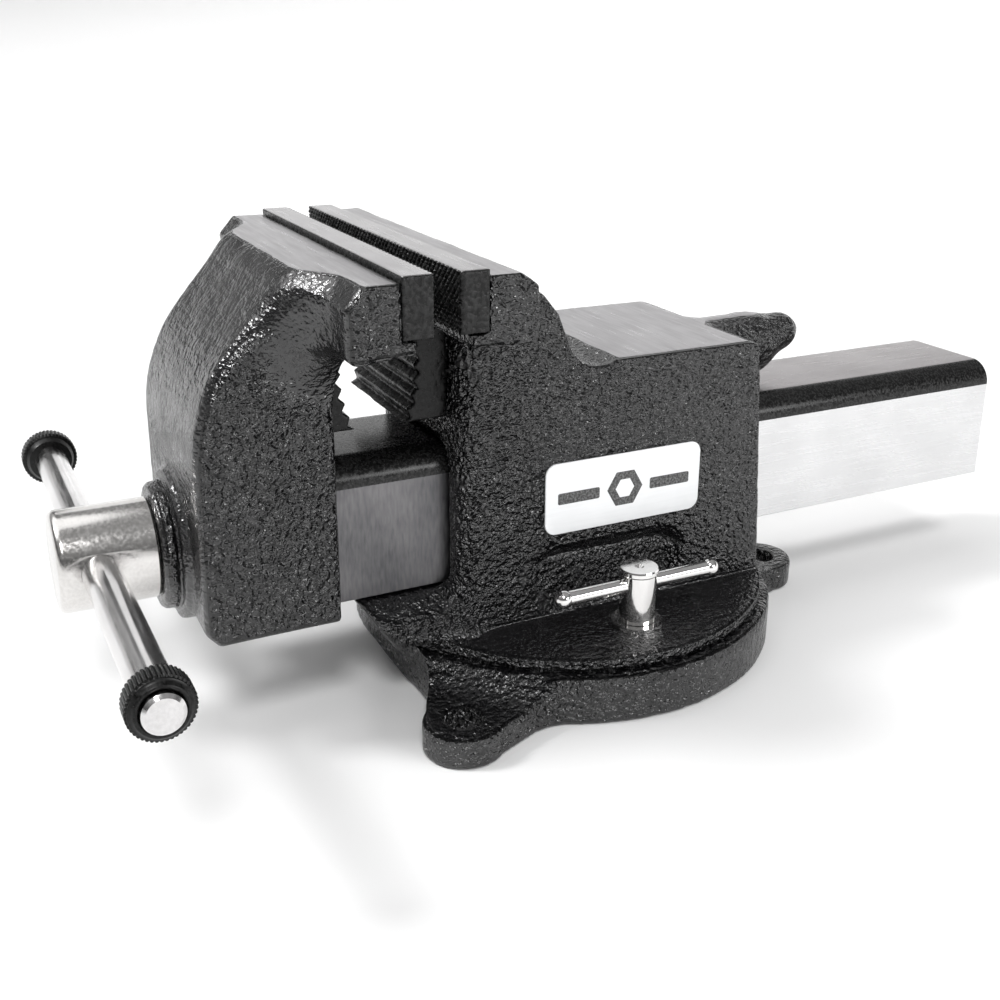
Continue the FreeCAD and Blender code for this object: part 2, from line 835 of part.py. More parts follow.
for side, sign in (("right", 1), ("left", -1)):
    make_swivel_lock(side, sign)
make_nameplate()
doc.recompute()


# ---- check and write ----------------------------------------------------------------

def sub_parts():
    """The objects that are pieces of the vise: not blanks, and not members of a group."""
    used = set()
    for item in doc.Objects:
        if item.TypeId == "Part::Compound":
            used.update(member.Name for member in item.Links)
        if item.TypeId == "Part::Cut":
            used.add(item.Base.Name)
    kinds = ("PartDesign::Body", "Part::Cut", "Part::Compound")
    return [o for o in doc.Objects if o.TypeId in kinds and o.Name not in used]


for item in doc.Objects:
    if "Invalid" in item.State or "Error" in item.State:
        raise RuntimeError("failed feature: %s %s" % (item.Label, item.State))
os.makedirs("parts", exist_ok=True)
for item in sub_parts():
    shape = item.Shape
    if shape.isNull() or not shape.isValid():
        raise RuntimeError("bad shape: " + item.Label)
    shape.exportStep("parts/%s.step" % item.Label)
    print("%-22s solids %d volume %.0f" % (item.Label, len(shape.Solids), shape.Volume))
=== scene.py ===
"""Looks of the swivel-base bench vise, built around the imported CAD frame.

Castings are skinned from signed distance fields, so that their parts run into each
other with cast fillets; turned and machined pieces are meshes or CAD nodes. Lengths
inside the functions are millimetres in the row frame, and meshes are made in metres.
"""
import json
import math

import bmesh
import bpy
import numpy as np
import openvdb
from mathutils import Matrix, Vector, noise


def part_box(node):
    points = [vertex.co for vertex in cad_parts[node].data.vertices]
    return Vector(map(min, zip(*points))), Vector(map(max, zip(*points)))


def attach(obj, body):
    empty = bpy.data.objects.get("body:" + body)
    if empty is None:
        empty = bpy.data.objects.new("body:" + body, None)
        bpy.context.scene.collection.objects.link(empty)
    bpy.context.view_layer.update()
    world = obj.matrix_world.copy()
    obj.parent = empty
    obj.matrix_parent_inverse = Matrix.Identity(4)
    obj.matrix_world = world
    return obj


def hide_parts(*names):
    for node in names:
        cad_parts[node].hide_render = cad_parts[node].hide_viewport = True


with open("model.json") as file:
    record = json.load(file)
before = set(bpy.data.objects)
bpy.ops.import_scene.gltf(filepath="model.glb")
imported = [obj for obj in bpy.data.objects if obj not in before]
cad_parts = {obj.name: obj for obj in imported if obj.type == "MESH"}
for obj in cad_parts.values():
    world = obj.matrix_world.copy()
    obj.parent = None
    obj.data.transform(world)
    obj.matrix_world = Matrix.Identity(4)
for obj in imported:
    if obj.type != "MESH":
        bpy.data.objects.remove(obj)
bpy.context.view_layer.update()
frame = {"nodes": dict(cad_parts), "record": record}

MM = 0.001


def span(node):
    """A CAD node's lowest and highest corner in millimetres."""
    low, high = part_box(node)
    return np.array(low) / MM, np.array(high) / MM


PLATE_REAR, PLATE_FRONT = span("rear_jaw_plate"), span("front_jaw_plate")
JAW_HALF = PLATE_REAR[1][0]
PLATE_BOTTOM = PLATE_REAR[0][2]
PLATE_SCREW_X, PLATE_SCREW_Z, PLATE_SCREW_HOLE = (-55, 55), 211.4, 4.3
REAR_SEAT, FRONT_SEAT = PLATE_REAR[1][1], PLATE_FRONT[0][1]
FIXED = span("fixed_jaw_body")
DISC_RADIUS = 110.6
DISC_BOTTOM, DISC_TOP = FIXED[0][2], FIXED[0][2] + 7.5
BASE_RADIUS, BASE_TOP = 116.7, span("swivel_base")[1][2]
BODY_HALF = span("nameplate")[0][0]
BODY_FRONT, BODY_REAR, REAR_LEAN = -84.7, 87.0, 10.5
ANVIL_TOP, HEAD_TOP, HEAD_BOTTOM = 164.0, 222.0, 191.0
SLIDE_HALF, SLIDE_LOW, SLIDE_TOP, SLIDE_CORNER = 36.8, 53.7, 125.0, 13.2
SLIDE_END = span("sliding_jaw")[1][1]
CHANNEL_HALF, CHANNEL_TOP = 24.0, 106.0
SLIDE_GAP = 0.4
# painted shade: in front of this the slide is coloured darker, standing in for the shade and dark
# reflections between the jaws
PAINTED_SHADE_END = -60.0  # the slide is darker in front of here, where the photograph shows it
FRONT_HALF, FRONT_FACE, FRONT_REAR, FRONT_LOW = 55.0, -209.8, -146.0, 52.6
FRONT_CURVE, CURVE_START = 80.1, 138.0
PIPE_RADIUS, PIPE_HEIGHT, PIPE_FACE_REAR, PIPE_FACE_FRONT = 60.0, 168.0, -101.5, -137.0
SCREW = span("lead_screw")
SCREW_RADIUS, SCREW_HEAD_RADIUS, THREAD_START, THREAD_PITCH = 15.0, 24.0, -150.0, 6.0
SCREW_Z = (SCREW[0][2] + SCREW[1][2]) / 2
BOSS_FRONT = span("sliding_jaw")[0][1]
LOCK_X = (span("lock_bolt_right")[0][0] + span("lock_bolt_right")[1][0]) / 2
LUG_RADIUS, LUG_THICK, LUG_HOLE = 19.5, 15.0, 9.0
LOCK_HOLE, PIVOT_HOLE, PIVOT_DEPTH = 6.4, 12.05, 44.9
HANDLE_RADIUS, HANDLE_RIGHT, HANDLE_LEFT = 8.5, 166.0, -186.0
HANDLE_TILT = math.radians(2.8)
HANDLE_Y = (span("handle_bar")[0][1] + span("handle_bar")[1][1]) / 2


# ---- camera, light and floor --------------------------------------------------------


def make_camera():
    """The photograph's view: from the handle end's right, a little above."""
    azimuth, elevation, roll = (math.radians(a) for a in (63.71, 18.21, 0.37))
    back = Vector((
        math.sin(azimuth) * math.cos(elevation),
        -math.cos(azimuth) * math.cos(elevation),
        math.sin(elevation),
    ))
    right = Vector((math.cos(azimuth), math.sin(azimuth), 0))
    up = back.cross(right)
    side = right * math.cos(roll) + up * math.sin(roll)
    over = back.cross(side)
    data = bpy.data.cameras.new("camera")
    data.lens = 43.36
    data.shift_y = -0.08
    data.clip_end = 20
    camera = bpy.data.objects.new("camera", data)
    turn = Matrix((side, over, back)).transposed().to_4x4()
    place = Vector((0.5423, -0.3056, 0.3205))
    camera.matrix_world = Matrix.Translation(place) @ turn
    bpy.context.scene.collection.objects.link(camera)
    bpy.context.scene.camera = camera


def area_light(name, place, size, radiance, target=(0, -0.05, 0.1)):
    """A soft rectangular panel of even radiance that faces the target."""
    data = bpy.data.lights.new(name, "AREA")
    data.shape = "RECTANGLE"
    data.size, data.size_y = size
    data.energy = math.pi * size[0] * size[1] * radiance
    light = bpy.data.objects.new(name, data)
    light.location = place
    light.rotation_euler = (Vector(target) - Vector(place)).to_track_quat("-Z", "Y").to_euler()
    light.visible_camera = False
    bpy.context.scene.collection.objects.link(light)


def sun_light(name, direction, spread, strength):
    """A distant soft light, which lights the whole floor evenly."""
    data = bpy.data.lights.new(name, "SUN")
    data.angle = math.radians(spread)
    data.energy = strength
    light = bpy.data.objects.new(name, data)
    light.rotation_euler = (-Vector(direction)).to_track_quat("-Z", "Y").to_euler()
    bpy.context.scene.collection.objects.link(light)


def make_stage():
    """A plain white floor that curves up far away, a dim surround and soft lights."""
    build, rows = bmesh.new(), []
    sweep = [(0.0, 0.0), (2.5, 0.0), (4.5, 0.0)]
    sweep += [(4.5 + math.sin(a), 1 - math.cos(a)) for a in (0.3, 0.6, 0.9, 1.2, 1.5)]
    for radius, height in sweep[1:]:
        rows.append([
            build.verts.new((radius * math.cos(a), radius * math.sin(a), height))
            for a in np.linspace(0, 2 * math.pi, 97)[:-1]
        ])
    build.faces.new(rows[0])
    for first, second in zip(rows, rows[1:]):
        for i in range(96):
            j = (i + 1) % 96
            build.faces.new((first[i], first[j], second[j], second[i]))
    mesh = bpy.data.meshes.new("floor")
    bmesh.ops.recalc_face_normals(build, faces=build.faces)
    build.to_mesh(mesh)
    build.free()
    mesh.polygons.foreach_set("use_smooth", [True] * len(mesh.polygons))
    floor = bpy.data.objects.new("floor", mesh)
    floor.location = (0, 0, -0.0005)
    bpy.context.scene.collection.objects.link(floor)
    material, shader, _, _ = new_material("floor_paper")
    shader.inputs["Base Color"].default_value = (0.92, 0.92, 0.92, 1)
    shader.inputs["Roughness"].default_value = 0.95
    shader.inputs["Specular IOR Level"].default_value = 0.05
    mesh.materials.append(material)
    world = bpy.data.worlds.new("surround")
    world.use_nodes = True
    nodes, links = world.node_tree.nodes, world.node_tree.links
    where = nodes.new("ShaderNodeTexCoord")
    height = nodes.new("ShaderNodeSeparateXYZ")
    links.new(where.outputs["Generated"], height.inputs["Vector"])
    grey = ramp(nodes, links, height.outputs["Z"], 0.12, 0.75, 0.06, 0.32)
    links.new(grey, nodes["Background"].inputs["Color"])
    nodes["Background"].inputs["Strength"].default_value = 1.0
    bpy.context.scene.world = world
    bpy.context.scene.view_settings.view_transform = "Standard"
    sun_light("sun_front", (-0.35, -0.75, 0.9), 14, 1.5)
    sun_light("sun_side", (0.7, -0.3, 1.0), 16, 1.2)
    sun_light("sun_over", (-0.45, -0.5, 1.0), 60, 0.9)
    area_light("panel_back", (-2.6, 1.3, 1.15), (3.2, 1.5), 0.9)
    area_light("panel_left", (-1.7, -1.0, 1.0), (1.1, 1.1), 0.25)
    area_light("strip_side", (1.25, 0.67, 0.62), (0.8, 0.3), 10.0)


# ---- materials ----------------------------------------------------------------------


def new_material(name):
    """A material with its shader, and its tree's nodes and links."""
    material = bpy.data.materials.new(name)
    material.use_nodes = True
    nodes, links = material.node_tree.nodes, material.node_tree.links
    return material, nodes["Principled BSDF"], nodes, links


def texture(nodes, links, kind, scale, detail=2.0, stretch=(1, 1, 1)):
    """A procedural texture in the row frame's metres, stretched along an axis."""
    where = nodes.new("ShaderNodeTexCoord")
    mapping = nodes.new("ShaderNodeMapping")
    mapping.inputs["Scale"].default_value = stretch
    links.new(where.outputs["Object"], mapping.inputs["Vector"])
    node = nodes.new(kind)
    node.inputs["Scale"].default_value = scale
    if "Detail" in node.inputs:
        node.inputs["Detail"].default_value = detail
    links.new(mapping.outputs["Vector"], node.inputs["Vector"])
    return node


def ramp(nodes, links, source, low, high, dark, light):
    """Maps source from low..high onto dark..light."""
    node = nodes.new("ShaderNodeMapRange")
    for key, value in (("From Min", low), ("From Max", high), ("To Min", dark), ("To Max", light)):
        node.inputs[key].default_value = value
    links.new(source, node.inputs["Value"])
    return node.outputs["Result"]


def combine(nodes, links, operation, first, second):
    """A sum, product or comparison of two sockets or numbers."""
    node = nodes.new("ShaderNodeMath")
    node.operation = operation
    for socket, value in zip(node.inputs, (first, second)):
        if isinstance(value, (int, float)):
            socket.default_value = value
        else:
            links.new(value, socket)
    return node.outputs["Value"]


def mix_colour(nodes, links, factor, first, second):
    """A blend from the first colour to the second."""
    node = nodes.new("ShaderNodeMix")
    node.data_type = "RGBA"
    links.new(factor, node.inputs["Factor"])
    node.inputs[6].default_value = (*first, 1)
    node.inputs[7].default_value = (*second, 1)
    return node.outputs[2]


def add_bump(nodes, links, shader, height, distance, strength=1.0):
    """Fine relief on the shader's surface."""
    bump = nodes.new("ShaderNodeBump")
    bump.inputs["Distance"].default_value = distance
    bump.inputs["Strength"].default_value = strength
    links.new(height, bump.inputs["Height"])
    links.new(bump.outputs["Normal"], shader.inputs["Normal"])


def near_value(nodes, links, source, value, tolerance):
    """One where source is within tolerance of value."""
    away = combine(nodes, links, "ABSOLUTE", combine(nodes, links, "SUBTRACT", source, value), 0)
    return combine(nodes, links, "LESS_THAN", away, tolerance)


def enamel_material(name, ground_levels, brushed_front=False):
    """Thick glossy black enamel on a rough casting, with faces ground bare at the levels."""
    material, shader, nodes, links = new_material(name)
    pebble = texture(nodes, links, "ShaderNodeTexNoise", 430, 1.2)
    pits = texture(nodes, links, "ShaderNodeTexVoronoi", 300)
    pits.feature = "SMOOTH_F1"
    broad = texture(nodes, links, "ShaderNodeTexNoise", 70, 2.0)
    streak = texture(nodes, links, "ShaderNodeTexNoise", 520, 3.0, (0.07, 1, 1))
    where = nodes.new("ShaderNodeTexCoord")
    place = nodes.new("ShaderNodeSeparateXYZ")
    links.new(where.outputs["Object"], place.inputs["Vector"])
    facing = nodes.new("ShaderNodeSeparateXYZ")
    links.new(where.outputs["Normal"], facing.inputs["Vector"])
    cells = combine(nodes, links, "MULTIPLY", pits.outputs["Distance"], 0.8)
    grain = combine(nodes, links, "ADD", pebble.outputs["Fac"], cells)
    amount = ramp(nodes, links, facing.outputs["Z"], 0.5, 0.95, 1.0, 0.35)
    under = ramp(nodes, links, facing.outputs["Z"], -0.05, -0.35, 1.0, 0.4)
    amount = combine(nodes, links, "MULTIPLY", amount, under)
    if brushed_front:
        front = ramp(nodes, links, facing.outputs["Y"], -0.15, -0.55, 0.0, 1.0)
        calm = ramp(nodes, links, front, 0, 1, 1.0, 0.16)
        amount = combine(nodes, links, "MULTIPLY", amount, calm)
    height = combine(nodes, links, "MULTIPLY", grain, amount)
    if brushed_front:
        lines = combine(nodes, links, "MULTIPLY", streak.outputs["Fac"], front)
        lines = combine(nodes, links, "MULTIPLY", lines, 0.09)
        height = combine(nodes, links, "ADD", height, lines)
    waves = combine(nodes, links, "MULTIPLY", broad.outputs["Fac"], 0.35)
    height = combine(nodes, links, "ADD", height, waves)
    level = combine(nodes, links, "GREATER_THAN", facing.outputs["Z"], 0.985)
    near = 0.0
    for value in ground_levels:
        here = near_value(nodes, links, place.outputs["Z"], value * MM, 0.0006)
        near = combine(nodes, links, "MAXIMUM", here, near)
    ground = combine(nodes, links, "MULTIPLY", level, near)
    mottle = texture(nodes, links, "ShaderNodeTexNoise", 28, 3.0)
    paint_rough = ramp(nodes, links, broad.outputs["Fac"], 0.3, 0.7, 0.16, 0.28)
    steel_rough = ramp(nodes, links, streak.outputs["Fac"], 0.3, 0.7, 0.26, 0.42)
    rough = nodes.new("ShaderNodeMix")
    links.new(ground, rough.inputs["Factor"])
    links.new(paint_rough, rough.inputs[2])
    links.new(steel_rough, rough.inputs[3])
    links.new(rough.outputs[0], shader.inputs["Roughness"])
    steel = mix_colour(nodes, links, mottle.outputs["Fac"], (0.3, 0.29, 0.3), (0.46, 0.45, 0.46))
    peaks = ramp(nodes, links, pebble.outputs["Fac"], 0.35, 0.65, 0, 1)
    paint = mix_colour(nodes, links, peaks, (0.001, 0.001, 0.0012), (0.004, 0.0038, 0.0045))
    colour = nodes.new("ShaderNodeMix")
    colour.data_type = "RGBA"
    links.new(ground, colour.inputs["Factor"])
    links.new(paint, colour.inputs[6])
    links.new(steel, colour.inputs[7])
    links.new(colour.outputs[2], shader.inputs["Base Color"])
    links.new(ramp(nodes, links, ground, 0, 1, 0, 0.95), shader.inputs["Metallic"])
    shader.inputs["Specular IOR Level"].default_value = 1.0
    bare = ramp(nodes, links, ground, 0, 1, 1, 0.03)
    add_bump(nodes, links, shader, combine(nodes, links, "MULTIPLY", height, bare), 0.0036, 1.0)
    return material


def steel_material(name, dark, light, rough, streak=(1, 1, 1), metallic=1.0, grain=700, bump=0.00004):
    """Machined steel: fine streaks along one axis, and soft broad changes of tone."""
    material, shader, nodes, links = new_material(name)
    lines = texture(nodes, links, "ShaderNodeTexNoise", grain, 4.0, streak)
    cloud = texture(nodes, links, "ShaderNodeTexNoise", 30, 3.0)
    fine = combine(nodes, links, "MULTIPLY", lines.outputs["Fac"], 0.45)
    broad = combine(nodes, links, "MULTIPLY", cloud.outputs["Fac"], 0.55)
    tone = combine(nodes, links, "ADD", fine, broad)
    colour = mix_colour(nodes, links, ramp(nodes, links, tone, 0.35, 0.65, 0, 1), dark, light)
    links.new(colour, shader.inputs["Base Color"])
    shader.inputs["Metallic"].default_value = metallic
    links.new(
        ramp(nodes, links, lines.outputs["Fac"], 0.3, 0.7, rough - 0.06, rough + 0.08),
        shader.inputs["Roughness"],
    )
    add_bump(nodes, links, shader, lines.outputs["Fac"], bump, 0.6)
    return material


def rough_black_material(name, tone=0.02, rough=0.5, scale=420, depth=0.0006):
    """Blacked steel with a rough forged skin."""
    material, shader, nodes, links = new_material(name)
    grain = texture(nodes, links, "ShaderNodeTexNoise", scale, 5.0)
    colour = mix_colour(
        nodes, links, ramp(nodes, links, grain.outputs["Fac"], 0.4, 0.7, 0, 1),
        (tone * 0.5,) * 3, (tone * 2.2,) * 3,
    )
    links.new(colour, shader.inputs["Base Color"])
    shader.inputs["Metallic"].default_value = 0.55
    links.new(
        ramp(nodes, links, grain.outputs["Fac"], 0.3, 0.7, rough - 0.12, rough + 0.12),
        shader.inputs["Roughness"],
    )
    add_bump(nodes, links, shader, grain.outputs["Fac"], depth, 0.7)
    return material


# ---- signed distance fields ---------------------------------------------------------


def smooth_step(low, high, value):
    """Zero at low, one at high, and smooth between."""
    t = np.clip((value - low) / (high - low), 0, 1)
    return t * t * (3 - 2 * t)


class Grid:
    """The sample points of a distance field, as three arrays that broadcast."""

    def __init__(self, low, high, cell):
        self.cell = cell * 1.0
        self.low = np.array(low, dtype=np.float32)
        lines = [
            np.arange(a, b + self.cell, self.cell, dtype=np.float32) for a, b in zip(low, high)
        ]
        self.x = lines[0][:, None, None]
        self.y = lines[1][None, :, None]
        self.z = lines[2][None, None, :]
        self.shape = tuple(len(line) for line in lines)


def polygon(u, v, points):
    """Distance to a closed outline, negative inside it."""
    best = None
    inside = np.zeros(np.broadcast(u, v).shape, dtype=bool)
    for (au, av), (bu, bv) in zip(points, points[1:] + points[:1]):
        eu, ev = bu - au, bv - av
        wu, wv = u - au, v - av
        t = np.clip((wu * eu + wv * ev) / (eu * eu + ev * ev), 0, 1)
        square = (wu - eu * t) ** 2 + (wv - ev * t) ** 2
        best = square if best is None else np.minimum(best, square)
        if ev != 0:
            crossing = (v >= min(av, bv)) & (v < max(av, bv))
            inside ^= crossing & (u < au + eu * wv / ev)
    return np.sqrt(best) * np.where(inside, -1.0, 1.0)


def arc(centre, radius, start, end, steps):
    """Points on a circle, angles in degrees."""
    angles = np.radians(np.linspace(start, end, steps))
    return [(centre[0] + radius * math.cos(a), centre[1] + radius * math.sin(a)) for a in angles]


def join(a, b, radius):
    """Union, with a fillet of that radius where the two meet."""
    if np.max(radius) <= 0:
        return np.minimum(a, b)
    over_a, over_b = np.maximum(radius - a, 0), np.maximum(radius - b, 0)
    return np.maximum(radius, np.minimum(a, b)) - np.sqrt(over_a**2 + over_b**2)


def meet(a, b, radius=0.0):
    """Intersection, with the outer edge rounded to that radius."""
    if np.max(radius) <= 0:
        return np.maximum(a, b)
    over_a, over_b = np.maximum(radius + a, 0), np.maximum(radius + b, 0)
    return np.minimum(-radius, np.maximum(a, b)) + np.sqrt(over_a**2 + over_b**2)


def block(g, low, high, radius=0.0):
    """A box between two corners."""
    sides = []
    for line, a, b in zip((g.x, g.y, g.z), low, high):
        sides.append(np.abs(line - (a + b) / 2) - (b - a) / 2)
    return meet(meet(sides[0], sides[1], radius), sides[2], radius)


def cylinder(u, v, centre, radius, along, low, high, edge=0.0):
    """A round bar or bore between two places along its axis."""
    wall = np.sqrt((u - centre[0]) ** 2 + (v - centre[1]) ** 2) - radius
    return meet(wall, np.abs(along - (low + high) / 2) - (high - low) / 2, edge)


def round_cone(g, start, end, radius_start, radius_end):
    """The hull of two spheres, for a tapered horn."""
    start, end = np.array(start), np.array(end)
    axis = end - start
    length = float(np.linalg.norm(axis))
    axis = axis / length
    dx, dy, dz = g.x - start[0], g.y - start[1], g.z - start[2]
    along = dx * axis[0] + dy * axis[1] + dz * axis[2]
    off = np.sqrt(np.maximum(dx**2 + dy**2 + dz**2 - along**2, 0))
    sine = (radius_start - radius_end) / length
    cosine = math.sqrt(1 - sine * sine)
    slid = np.clip((along - off * sine / cosine) / length, 0, 1)
    nearest = np.sqrt((along - slid * length) ** 2 + off**2)
    return nearest - (radius_start + (radius_end - radius_start) * slid)


def skin(name, g, field, relief=None):
    """The surface of a field as a smooth-shaded mesh object, in metres."""
    field = np.clip(np.broadcast_to(field, g.shape), -3 * g.cell, 3 * g.cell)
    volume = openvdb.FloatGrid(3 * g.cell)
    volume.copyFromArray(np.ascontiguousarray(field, dtype=np.float32))
    points, _, quads = volume.convertToPolygons(isovalue=0.0, adaptivity=0.0)
    points = points * g.cell + g.low
    edge_a = points[quads[:, 1]] - points[quads[:, 0]]
    edge_b = points[quads[:, 2]] - points[quads[:, 0]]
    cross = np.cross(edge_a, edge_b)
    if (cross * points[quads[:, 0]]).sum() < 0:
        quads = quads[:, ::-1]
    mesh = bpy.data.meshes.new(name)
    mesh.from_pydata((points * MM).tolist(), [], quads.tolist())
    if relief:
        roughen(mesh, relief)
    mesh.polygons.foreach_set("use_smooth", [True] * len(mesh.polygons))
    mesh.update()
    piece = bpy.data.objects.new(name, mesh)
    bpy.context.scene.collection.objects.link(piece)
    return piece


def roughen(mesh, relief):
    """Moves each point along its normal by the uneven skin of a sand casting."""
    fine, broad, bare = relief
    count = len(mesh.vertices)
    places, normals = np.empty(count * 3), np.empty(count * 3)
    mesh.vertices.foreach_get("co", places)
    mesh.vertices.foreach_get("normal", normals)
    places, normals = places.reshape(-1, 3), normals.reshape(-1, 3)
    kept = bare(places / MM, normals)
    shift = np.empty(count)
    for i, place in enumerate(places):
        where = Vector(place)
        shift[i] = fine * noise.noise(where * 190) + broad * noise.noise(where * 45)
    places += normals * (shift * MM * (1 - kept))[:, None]
    mesh.vertices.foreach_set("co", places.ravel())


# ---- castings -----------------------------------------------------------------------


def make_fixed_casting():
    """Turntable, housing, fixed jaw, anvil and horn."""
    g = Grid((-108, -140, 22), (114, 158, 226), 1.55)
    side = [
        (BODY_REAR + REAR_LEAN * 1.02, DISC_TOP - 3),
        (BODY_REAR + 1.8, ANVIL_TOP - 5),
        (BODY_REAR - 1.5, ANVIL_TOP + 1),
        (3, ANVIL_TOP + 1),
    ]
    side += arc((-8, ANVIL_TOP + 18), 20.5, -72, -168, 9)
    side += [(-33, ANVIL_TOP + 26), (-41, HEAD_TOP - 22), (-53, HEAD_TOP - 14), (-62, HEAD_TOP - 10)]
    side += [(BODY_FRONT, HEAD_TOP - 10), (BODY_FRONT, DISC_TOP - 3)]
    wall = np.abs(g.x) - BODY_HALF
    corner = 2.4 + 7.5 * smooth_step(-62, -78, g.y) * smooth_step(198, 186, g.z)
    housing = meet(polygon(g.y, g.z, side), wall, corner)
    head_side = [
        (REAR_SEAT - 8, HEAD_BOTTOM),
        (-71, HEAD_BOTTOM - 0.5),
        (-68.5, HEAD_BOTTOM + 2.5),
        (-69, HEAD_TOP - 6),
        (-78.6, HEAD_TOP + 1),
        (REAR_SEAT - 8, HEAD_TOP + 1),
    ]
    head = meet(polygon(g.y, g.z, head_side), np.abs(g.x) - JAW_HALF, 1.1)
    solid = join(housing, head, 5 + 9 * smooth_step(-72, -84, g.y))
    nose = [(-80, DISC_TOP - 2), (-118.5, DISC_TOP - 2), (-134, SLIDE_LOW - SLIDE_GAP), (-80, 58)]
    slope = ((np.abs(g.x) - SLIDE_HALF - 1) * 0.48 + (g.z - SLIDE_LOW)) * 0.9
    nose = meet(meet(polygon(g.y, g.z, nose), wall, 2.5), slope, 5)
    solid = join(solid, nose, 9)
    disc = cylinder(g.x, g.y, (0, 0), DISC_RADIUS + 0.8, g.z, DISC_BOTTOM, DISC_TOP, 0.7)
    solid = join(solid, disc, 2.2 + 9 * smooth_step(-62, -84, g.y))
    rear_bevel = (g.z - ANVIL_TOP) * 0.97 + (g.y - 80.5) * 0.24
    solid = np.where(g.y > 60, meet(solid, rear_bevel, 0), solid)
    stations = ((82, 138.5, 25.3), (119, 146.4, 17.4), (142, 151.3, 10.0), (148, 151.6, 6.4))
    for (y0, z0, r0), (y1, z1, r1) in zip(stations, stations[1:]):
        cone = round_cone(g, (0, y0, z0), (0, y1, z1), r0, r1)
        solid = join(solid, cone, 3)
    for sign in (1, -1):
        recess = block(
            g,
            (min(44.3 * sign, 90 * sign), -47, DISC_TOP + 0.01),
            (max(44.3 * sign, 90 * sign), 46, 68),
            15,
        )
        fade = np.abs(g.x) - (BODY_HALF - 10 * np.clip((g.y + 62) / 100, 0, 1))
        recess = meet(meet(recess, DISC_TOP - g.z, 0), -fade, 4)
        solid = meet(solid, -recess, 2.2)
    solid = meet(solid, g.z - ANVIL_TOP - np.where(g.y < -20, 500, 0), 0.0)
    solid = meet(solid, g.z - HEAD_TOP, 0.0)
    seat = block(g, (-200, -140, PLATE_BOTTOM), (200, REAR_SEAT, 300))
    solid = meet(solid, -seat, 0.6)
    tunnel = slide_outline(g, SLIDE_GAP + 0.9)
    solid = meet(solid, -tunnel, 1.2)
    for sign in (1, -1):
        hole = cylinder(g.x, g.y, (LOCK_X * sign, 0), LOCK_HOLE, g.z, 0, 60)
        solid = meet(solid, -hole, 0)
    pivot = cylinder(g.x, g.y, (0, 0), PIVOT_HOLE, g.z, 0, PIVOT_DEPTH)
    solid = meet(solid, -pivot, 0)
    solid = meet(solid, -plate_screw_holes(g, REAR_SEAT - 2, REAR_SEAT + 14), 0)

    def bare(places, normals):
        up = normals[:, 2] > 0.97
        anvil = up & (np.abs(places[:, 2] - ANVIL_TOP) < 1.0)
        ledge = up & (np.abs(places[:, 2] - HEAD_TOP) < 1.0)
        inner = np.abs(places[:, 0]) < SLIDE_HALF + 1.5
        bore = inner & (places[:, 2] < SLIDE_TOP + 1.5) & (places[:, 2] > SLIDE_LOW - 1.5)
        return (anvil | ledge | bore).astype(float)

    piece = skin("fixed_casting", g, solid, (0.12, 0.35, bare))
    dress(piece, "upper", "black_cast_enamel", MATERIALS["enamel_fixed"], "fixed_jaw_body")


def plate_screw_holes(g, low, high):
    """The holes behind a jaw plate for its two screws."""
    holes = [
        cylinder(g.x, g.z, (x, PLATE_SCREW_Z), PLATE_SCREW_HOLE, g.y, low, high)
        for x in PLATE_SCREW_X
    ]
    return np.minimum(*holes)


def slide_outline(g, gap):
    """The slide's section, grown by a gap, running all along Y."""
    half, low, top = SLIDE_HALF + gap, SLIDE_LOW - gap, SLIDE_TOP + gap
    corner = SLIDE_CORNER + gap
    points = [(-half, low), (half, low)]
    points += arc((half - corner, top - corner), corner, 0, 90, 9)
    points += arc((-half + corner, top - corner), corner, 90, 180, 9)
    return polygon(g.x, g.z, points)


